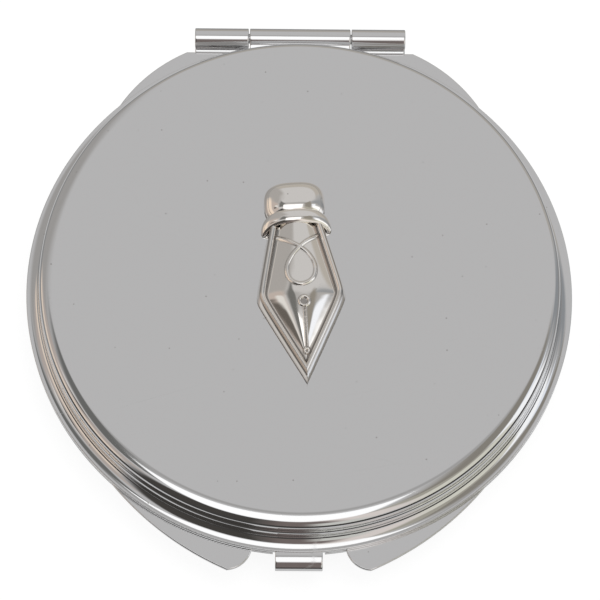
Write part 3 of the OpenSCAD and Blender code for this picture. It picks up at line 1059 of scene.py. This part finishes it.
@dataclass
class NibEmblem:
    """Cast pen nib with a rim, crowned panels, raised ribbon, collar and cap.

    It is drawn flat on the lid: u runs across the nib, and v along it from the tip in front.
    """

    place: tuple[float, float] = (0.0, -1.4)
    lean: float = 4.0
    lift: float = 0.1
    tip_v: float = -13.4
    wide_v: float = -2.15
    wide_u: float = 5.8
    neck_v: float = 7.9
    neck_u: float = 3.48
    blunt: float = 0.22
    lower_slant: float = 1.13
    slant_drop: float = 0.1
    corner_v: float = 0.7
    draft: float = 0.42
    wall_h: float = 1.86
    wall_power: float = 1.6
    rim_w: float = 0.5
    rim_h: float = 0.15
    step_w: float = 0.22
    step_h: float = 0.5
    crown_h: float = 2.86
    fall: float = 0.172
    fall_v: float = -1.2
    fall_soft: float = 2.2
    back_fall: float = 0.055
    back_v: float = 2.5
    crown_bow: float = 1.6
    crown_power: float = 2.1
    fade_w: float = 0.5
    bead_w: float = 0.21
    bead_h: float = 0.15
    ribbon: Points = (
        (-3.15, 6.2), (-2.1, 5.5), (-0.95, 4.8), (0.19, 4.05), (1.1, 3.25), (1.7, 2.3), (1.97, 1.3),
        (1.8, 0.2), (1.2, -0.6), (0.15, -1.0), (-0.8, -0.75), (-1.45, -0.05), (-1.66, 0.9), (-1.45, 1.95),
        (-0.75, 3.1),
        (0.19, 4.05), (1.15, 4.85), (2.2, 5.55), (3.25, 6.3))
    ring: Triple = (0.27, -3.25, 0.6)
    eye: Triple = (0.19, -9.55, 0.3)
    hole_bead_w: float = 0.168
    hole_depth: float = 0.16
    # Painted shade inside the holes.
    hole_painted_shade: float = 0.7
    slit_w: float = 0.09
    slit_depth: float = 0.1
    # Painted shade inside the slit.
    slit_painted_shade: float = 0.6
    lip_w: float = 0.15
    lip_h: float = 0.06
    cap_u: float = 3.9
    cap_v: float = 10.85
    cap_reach: float = 2.85
    cap_h: float = 2.72
    cap_powers: Triple = (0.72, 0.7, 0.78)
    collar_u: float = 4.5
    collar_h: float = 2.84
    collar_v: float = 7.3
    collar_bow: float = 1.05
    collar_r: float = 0.92
    collar_thin: float = 0.62
    collar_power: float = 0.92
    # Painted shade where the collar and cap stand on the nib: the height over which it fades out, and its
    # darkness.
    foot_h: float = 0.5
    foot_painted_shade: float = 0.8
    # Painted shade in the sunk lines beside a bead: middle and width as shares of the bead's half width, and
    # darkness.
    ribbon_shadow: Triple = (1.25, 0.45, 0.45)
    hole_shadow: Triple = (1.3, 0.5, 0.6)
    # Distances in from the nib's edge where the grid's outer columns lie, over wall, rim and step.
    edge_steps: tuple[float, ...] = (
        0.0, 0.03, 0.08, 0.15, 0.24, 0.33, 0.39, 0.42, 0.46, 0.51, 0.57, 0.64, 0.7, 0.77, 0.83, 0.88, 0.92,
        0.97, 1.03, 1.09, 1.14)
    inner_steps: int = 86
    rows: int = 300

    def half_width(self, v: float) -> float:
        """Returns half of the nib's width at v, with the wide corners a little blunt.

        Args:
            v: distance along the nib.

        Returns:
            The half width.
        """
        lower = self.wide_u * (v - self.tip_v) / (self.wide_v - self.tip_v)
        upper = self.wide_u + (self.neck_u - self.wide_u) * (v - self.wide_v) / (self.neck_v - self.wide_v)
        if v <= self.tip_v + 1:
            return lower
        return (lower + upper - math.sqrt((lower - upper) ** 2 + self.blunt)) / 2

    def slant(self, v: float) -> float:
        """Returns the sideways stretch of a distance measured square to the edge."""
        share = max(0.0, min(1.0, (v - self.wide_v + self.corner_v) / (2 * self.corner_v)))
        return self.lower_slant - self.slant_drop * share * share * (3 - 2 * share)

    def edge_height(self, depth: float) -> float:
        """Returns the height at a distance in from the nib's edge, over wall, rim and step.

        Args:
            depth: distance in from the edge.

        Returns:
            The height above the lid.
        """
        if depth <= self.draft:
            return self.wall_h * (1 - (1 - depth / self.draft) ** self.wall_power) if depth > 0 else 0.0
        rim = depth - self.draft
        if rim <= self.rim_w:
            return self.wall_h + self.rim_h * math.sin(math.pi * rim / self.rim_w)
        share = min((rim - self.rim_w) / self.step_w, 1.0)
        return self.wall_h - self.step_h * (1 - math.cos(math.pi * share)) / 2

    def edge_painted_shade(self, depth: float) -> float:
        """Returns the painted shade in the sunk lines of wall, rim and step at a distance in from the edge.

        Args:
            depth: distance in from the edge.

        Returns:
            The patina, from 0 to 1.
        """
        step = self.draft + self.rim_w + self.step_w
        # Painted shade at the wall's foot, at the wall's top and at the step: middle, width and darkness of
        # each line.
        lines = ((0.0, 0.05, 0.6), (self.draft, 0.12, 0.8), (step, 0.16, 0.8))
        return max(hump(depth, *line) for line in lines)

    def crown(self, v: float) -> float:
        """Returns the height of the nib's middle line at v, falling to the tip and a little to the neck.

        Args:
            v: distance along the nib.

        Returns:
            The height above the lid.
        """
        front = math.log1p(math.exp((self.fall_v - v) / self.fall_soft)) * self.fall_soft
        back = math.log1p(math.exp(v - self.back_v))
        return self.crown_h - self.fall * front - self.back_fall * back

    def ribbon_line(self, steps: int = 40) -> kdtree.KDTree:
        """Returns the ribbon's smooth middle line as close points.

        Args:
            steps: points between two knots.

        Returns:
            The points, ready for a search.
        """
        knots = [Vector(p) for p in self.ribbon]
        knots = [2 * knots[0] - knots[1], *knots, 2 * knots[-1] - knots[-2]]
        points = []
        for p0, p1, p2, p3 in zip(knots, knots[1:], knots[2:], knots[3:]):
            for t in (k / steps for k in range(steps)):
                points.append(((2 * p1) + (p2 - p0) * t + (2 * p0 - 5 * p1 + 4 * p2 - p3) * t ** 2
                               + (3 * p1 - p0 - 3 * p2 + p3) * t ** 3) / 2)
        tree = kdtree.KDTree(len(points))
        for index, point in enumerate(points):
            tree.insert((point.x, point.y, 0), index)
        tree.balance()
        return tree

    def bead(self, near: float) -> float:
        """Returns a bead's height at a share of its half width."""
        return self.bead_h * math.sqrt(max(0.0, 1 - near ** 2))

    def detail(self, line: kdtree.KDTree, u: float, v: float) -> tuple[float, float]:
        """Returns the height that raised and sunk lines add at a point of the panels, and the painted shade
        in and beside them.

        Args:
            line: the ribbon's points.
            u: distance across the nib.
            v: distance along the nib.

        Returns:
            The added height and the painted shade.
        """
        near = line.find((u, v, 0))[2] / self.bead_w
        add, dark = self.bead(near), hump(near, *self.ribbon_shadow)
        for hole_u, hole_v, radius in (self.ring, self.eye):
            away = math.hypot(u - hole_u, v - hole_v)
            near = abs(away - radius) / self.hole_bead_w
            if near < 1:
                add, dark = max(add, self.bead(near)), 0.0
            elif away < radius:
                add, dark = -self.hole_depth, self.hole_painted_shade
            else:
                dark = max(dark, hump(near, *self.hole_shadow))
        (ring_u, ring_v, ring_r), (eye_u, eye_v, eye_r) = self.ring, self.eye
        if eye_v + eye_r < v < ring_v - ring_r:
            off = abs(u - (ring_u + (eye_u - ring_u) * (ring_v - v) / (ring_v - eye_v)))
            if off < self.slit_w:
                add, dark = add - self.slit_depth, self.slit_painted_shade
            elif off < self.slit_w + self.lip_w:
                add += self.lip_h * math.sin(math.pi * (off - self.slit_w) / self.lip_w)
        return add, dark

    def body(self) -> Skin:
        """Casts the nib from a grid: wall, rim and step at the edges, crowned panels and lines between.

        Returns:
            The skin, with its painted shade.
        """
        steps, inner, rows = self.edge_steps, self.inner_steps, self.rows
        half = len(steps) - 1 + inner
        last = steps[-1]
        line = self.ribbon_line()
        bm = bmesh.new()
        painted_shade = bm.verts.layers.float.new("painted_shade")
        bmesh.ops.create_grid(bm, x_segments=2 * half, y_segments=rows, size=1.0)
        for vert in bm.verts:
            i = round((vert.co.x + 1) * half) - half
            j = round((vert.co.y + 1) / 2 * rows)
            side = -1 if i < 0 else 1
            v = self.tip_v + (self.neck_v - self.tip_v) * min(j / (rows - 2), 1.0)
            width, slant = self.half_width(v), self.slant(v)
            rank = half - abs(i)
            if rank < len(steps):
                depth = min(steps[rank], width / slant)
                u, z = side * (width - depth * slant), self.edge_height(depth)
                # Painted shade of the wall, rim and step.
                vert[painted_shade] = self.edge_painted_shade(depth)
            else:
                room = max(width - last * slant, 0.0)
                share = (half - rank) / inner
                u = side * share * room
                fade = min(room / self.fade_w, 1.0)
                low = self.edge_height(min(last, width / slant))
                crown = max(self.crown(v + self.crown_bow * (1 - share ** 2)) - low, 0.0)
                rise, dark = self.detail(line, u, v)
                z = low + crown * (1 - share ** self.crown_power) + rise * fade
                # Painted shade: the darker of the panels' lines and the edge lines.
                vert[painted_shade] = max(dark * fade, self.edge_painted_shade(last + (1 - share) * room))
            # The last row lies under the one before and closes the neck.
            if j == rows:
                z = 0.0
            vert.co = (u, v, max(z, 0.0))
        return seal(bm, 2 * WELD)

    def cap(self) -> Skin:
        """Builds the pebble-shaped cap from a ball, squared in plan and in height.

        Returns:
            The skin.
        """
        spread, square, rise = self.cap_powers
        bm = bmesh.new()
        bmesh.ops.create_uvsphere(bm, u_segments=112, v_segments=64, radius=1.0)
        for vert in bm.verts:
            x, y, z = vert.co
            around = max(math.hypot(x, y), 1e-9)
            reach = min(around, 1.0) ** spread
            across = math.copysign(abs(x / around) ** square, x)
            along = math.copysign(abs(y / around) ** square, y)
            vert.co = (self.cap_u * reach * across, self.cap_v + self.cap_reach * reach * along,
                       self.cap_h * max(z, 0.0) ** rise)
        return seal(bm)

    def collar(self) -> Skin:
        """Builds the rounded collar: an oval spun half a turn over the nib, squared and bowed.

        Returns:
            The skin.
        """
        middle = self.collar_u - self.collar_r * self.collar_thin
        bm = ring_wire(self.collar_r, middle, self.collar_v, 28).bm
        for vert in bm.verts:
            vert.co.x = middle + (vert.co.x - middle) * self.collar_thin
        bmesh.ops.spin(bm, geom=bm.verts[:] + bm.edges[:], cent=(0, 0, 0), axis=(0, -1, 0), angle=math.pi,
                       steps=72, use_merge=False, use_duplicate=False)
        for vert in bm.verts:
            reach = math.hypot(vert.co.x, vert.co.z)
            across, up = vert.co.x / reach, max(vert.co.z / reach, 0.0)
            vert.co.x = reach * math.copysign(abs(across) ** self.collar_power, across)
            vert.co.z = reach * up ** self.collar_power * self.collar_h / self.collar_u
        seal(bm)
        for vert in bm.verts:
            vert.co.y += self.collar_bow * (1 - (vert.co.x / self.collar_u) ** 4)
        return bm

    def build(self) -> None:
        """Builds and dresses the emblem."""
        bm = self.body()
        # The collar and cap get painted shade at their feet, fading out upwards.
        for part in (self.collar(), self.cap()):
            painted_shade = part.verts.layers.float.new("painted_shade")
            for vert in part.verts:
                vert[painted_shade] = self.foot_painted_shade * max(0.0, 1 - vert.co.z / self.foot_h)
            merge(bm, part)
        turn = Matrix.Rotation(math.radians(self.lean), 3, "Z")
        bmesh.ops.rotate(bm, cent=(0, 0, 0), matrix=turn, verts=bm.verts[:])
        move(bm, (*self.place, STACK.lid_top_z + self.lift))
        finish_piece(bm, "raised_nib_emblem", "lid", "nib_emblem", Finish.EMBLEM,
                     Shade.SMOOTH)


# Studio


@dataclass
class Sky:
    """Sockets that tell where a ray of the world goes."""

    sheet: NodeSheet
    around: Socket
    height: Socket
    across: Socket
    along: Socket

    def window(self, value: Socket, low: float, high: float, soft: float) -> Socket:
        """Returns 1 where a value lies between two limits, with soft ends.

        Args:
            value: the value's socket.
            low: lower limit.
            high: upper limit.
            soft: half of the width over which an end fades.

        Returns:
            The result's socket.
        """
        rise = self.sheet.spread(value, low - soft, low + soft)
        fall = self.sheet.spread(value, high - soft, high + soft, 1.0, 0.0)
        return self.sheet.math("MULTIPLY", rise, fall)


@dataclass(frozen=True)
class Card:
    """Soft-edged card of the tent, by azimuth from behind and height above the horizon in degrees."""

    azimuth: float
    half_width: float
    low: float
    high: float
    soft: float
    color: Color

    def mask(self, sky: Sky) -> Socket:
        """Returns how much of a ray's way the card fills.

        Args:
            sky: where the ray goes.

        Returns:
            The share's socket.
        """
        turned = sky.sheet.math("WRAP", sky.sheet.math("SUBTRACT", sky.around, self.azimuth), 180.0, -180.0)
        wide = sky.window(turned, -self.half_width, self.half_width, self.soft)
        return sky.sheet.math("MULTIPLY", wide, sky.window(sky.height, self.low, self.high, self.soft))


@dataclass(frozen=True)
class Overhead:
    """Soft-edged card overhead, by the sideways and lengthways parts of a ray's direction."""

    across: tuple[float, float]
    along: tuple[float, float]
    soft: float
    color: Color

    def mask(self, sky: Sky) -> Socket:
        """Returns how much of a ray's way the card fills."""
        wide = sky.window(sky.across, *self.across, self.soft)
        return sky.sheet.math("MULTIPLY", wide, sky.window(sky.along, *self.along, self.soft))


@dataclass
class Studio:
    """Pale floor, soft light, the tent that the metal mirrors, and the camera. Lengths are in metres."""

    elevation: float = 68.49
    azimuth: float = -2.031
    roll: float = -2.315
    distance: float = 0.3
    focal_px: float = 2335.5
    shift_px: tuple[float, float] = (-0.413, -12.179)
    image_px: float = 600.0
    sensor_mm: float = 36.0
    aim_z: float = 0.00595
    lamp_place: Triple = (0.15, 0.12, 0.8)
    lamp_size: float = 0.5
    ambient: float = 0.75
    tent_light: float = 1.25
    floor_half: float = 3.0
    floor_white: float = 0.85
    floor_mirrored: float = 0.45
    # The mirrored floor turns dark between these distances from the middle, and less so towards the back:
    # from one place to another, and how far it turns there.
    floor_light: tuple[float, float] = (0.045, 0.055)
    floor_front: tuple[float, float, float, float] = (-0.03, 0.0, 1.0, 0.6)
    floor_far: Color = (0.055, 0.052, 0.05)
    floor_faint: Color = (0.22, 0.22, 0.22)
    floor_matt: Color = (0.9, 0.9, 0.9)
    grey: Color = (0.452, 0.448, 0.447)
    # A later card lies over an earlier one.
    cards: tuple[Card | Overhead, ...] = (
        Card(0, 60, -30, 30, 5, (0.36, 0.34, 0.31)),
        Card(72, 11, -30, 64, 6, (0.24, 0.25, 0.26)),
        Card(126, 20, 42, 75, 5, (0.33, 0.315, 0.27)),
        Card(126, 20, -30, 42, 5, (0.58, 0.57, 0.5)),
        Card(312, 24, -30, 60, 8, (0.31, 0.30, 0.29)),
        Overhead((-0.9, 0.9), (0.135, 0.225), 0.025, (0.33, 0.325, 0.32)),
        Card(286, 28, 62, 77, 4, (0.13, 0.13, 0.125)),
        Card(86, 30, 57, 77, 4, (0.22, 0.205, 0.18)),
        Overhead((-0.245, 0.165), (-0.6, 0.08), 0.012, (1.0, 1.0, 1.0)),
        Card(264, 28, 22, 57, 5, (0.40, 0.35, 0.32)),
        Card(264, 28, -30, 22, 4, (0.66, 0.56, 0.47)),
        Card(270, 9, 44, 56, 3, (0.58, 0.57, 0.55)),
        Card(263, 5, 36, 50, 3, (0.1, 0.09, 0.08)),
        Card(157, 15, 10, 73, 6, (0.62, 0.57, 0.54)),
        Card(98, 9, -30, 52, 3, (0.88, 0.89, 0.9)),
        Card(84, 6, 38, 56, 3, (0.74, 0.77, 0.82)),
        Card(180, 14, -12, 67, 6, (0.15, 0.125, 0.118)),
        Card(167, 8, -5, 36, 4, (0.52, 0.52, 0.49)),
        Card(211, 22, -12, 68, 6, (0.05, 0.046, 0.042)),
    )

    def camera(self) -> None:
        """Places the camera."""
        turn = Matrix.Rotation(math.radians(self.azimuth), 4, "Z")
        turn = turn @ Matrix.Rotation(math.radians(90 - self.elevation), 4, "X")
        turn = turn @ Matrix.Rotation(math.radians(-self.roll), 4, "Z")
        lens = bpy.data.cameras.new("camera")
        lens.sensor_width = self.sensor_mm
        lens.lens = self.sensor_mm * self.focal_px / self.image_px
        lens.shift_x = -self.shift_px[0] / self.image_px
        lens.shift_y = self.shift_px[1] / self.image_px
        lens.clip_start = MM
        cam = add_object("camera", lens)
        aim, back = Matrix.Translation((0, 0, self.aim_z)), Matrix.Translation((0, 0, self.distance))
        cam.matrix_world = aim @ turn @ back
        bpy.context.scene.camera = cam

    def floor(self) -> None:
        """Lays the floor. To the camera it is white with the object's shadow.

        The metal mirrors it dimmer, and dark further out in front.
        """
        bm = bmesh.new()
        bmesh.ops.create_grid(bm, x_segments=8, y_segments=8, size=self.floor_half)
        mesh = bpy.data.meshes.new("floor")
        bm.to_mesh(mesh)
        bm.free()
        material = bpy.data.materials.new("pale_floor")
        mesh.materials.append(material)
        sheet = NodeSheet.clean(material)
        path = sheet.add("ShaderNodeLightPath").outputs
        glow = sheet.spread(path["Is Glossy Ray"], 0.0, 1.0, self.floor_white, self.floor_mirrored)
        white = sheet.add("ShaderNodeEmission", (1, 1, 1, 1), glow)
        faint = sheet.add("ShaderNodeBsdfDiffuse", (*self.floor_faint, 1))
        near = sheet.add("ShaderNodeAddShader", faint.outputs[0], white.outputs[0])
        place = sheet.add("ShaderNodeTexCoord").outputs["Object"]
        reach = sheet.add("ShaderNodeVectorMath", place, operation="LENGTH").outputs["Value"]
        front = sheet.add("ShaderNodeSeparateXYZ", place).outputs["Y"]
        far = sheet.math("MULTIPLY", sheet.spread(reach, *self.floor_light),
                         sheet.spread(front, *self.floor_front))
        far = sheet.math("MULTIPLY", path["Is Glossy Ray"], far)
        dark = sheet.add("ShaderNodeEmission", (*self.floor_far, 1), 1.0)
        seen = sheet.math("MAXIMUM", path["Is Camera Ray"], path["Is Glossy Ray"])
        seen = sheet.math("MAXIMUM", seen, path["Is Transmission Ray"])
        matt = sheet.add("ShaderNodeBsdfDiffuse", (*self.floor_matt, 1))
        shown = sheet.either(seen, matt, sheet.either(far, near, dark))
        sheet.add("ShaderNodeOutputMaterial", shown.outputs[0])
        floor = add_object("floor", mesh)

    def tent(self) -> None:
        """Sets the white surround, and the grey tent with its cards that the metal mirrors."""
        world = bpy.data.worlds.new("studio")
        bpy.context.scene.world = world
        sheet = NodeSheet.clean(world)
        way = sheet.add("ShaderNodeSeparateXYZ", sheet.add("ShaderNodeTexCoord").outputs["Generated"]).outputs
        height = sheet.math("DEGREES", sheet.math("ARCSINE", way["Z"]))
        around = sheet.math("DEGREES", sheet.math("ARCTAN2", way["X"], way["Y"]))
        sky = Sky(sheet, around, height, way["X"], way["Y"])
        tent = (*self.grey, 1)
        for card in self.cards:
            tent = sheet.mix(card.mask(sky), tent, (*card.color, 1))
        path = sheet.add("ShaderNodeLightPath").outputs
        seen = sheet.math("MAXIMUM", path["Is Camera Ray"], path["Is Transmission Ray"])
        mirrored = sheet.add("ShaderNodeBackground", tent, self.tent_light)
        plain = sheet.add("ShaderNodeBackground", (1, 1, 1, 1), self.ambient)
        white = sheet.add("ShaderNodeBackground", (1, 1, 1, 1), 1.0)
        shown = sheet.either(seen, sheet.either(path["Is Glossy Ray"], plain, mirrored), white)
        sheet.add("ShaderNodeOutputWorld", shown.outputs[0])

    def lamp(self) -> None:
        """Hangs the soft lamp that gives the object its shadow."""
        light = bpy.data.lights.new("soft_lamp", "AREA")
        light.shape = "DISK"
        light.size = self.lamp_size
        light.energy = 1.0
        lamp = add_object("soft_lamp", light)
        lamp.location = self.lamp_place
        lamp.rotation_euler = (-lamp.location).to_track_quat("-Z", "Y").to_euler()
        lamp.visible_glossy = False
        lamp.visible_camera = False

    def build(self) -> None:
        """Builds the studio."""
        bpy.context.scene.view_settings.view_transform = "Standard"
        self.camera()
        self.floor()
        self.tent()
        self.lamp()


def dress_nodes() -> None:
    """Gives the solids that stay their own finishes."""
    kept = {"hinge_pin": Finish.PIN, "catch_spring": Finish.SPRING, "catch_rivets": Finish.PIN,
            "base_backing_pad": Finish.BOARD, "lid_backing_pad": Finish.BOARD,
            "emblem_adhesive": Finish.ADHESIVE}
    for name, finish in kept.items():
        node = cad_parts[name]
        node.data.materials.clear()
        node.data.materials.append(finish.material())


def main() -> None:
    """Builds the compact and its studio."""
    logging.basicConfig(level=logging.INFO, format="%(name)s %(message)s")
    Studio().build()
    for half in Half:
        Cover(half).build()
        FrameRing(half).build()
        MirrorStack(half).build()
    BasePlate().build()
    LidPlate().build()
    NibEmblem().build()
    dress_nodes()


if __name__ == "__main__":
    main()
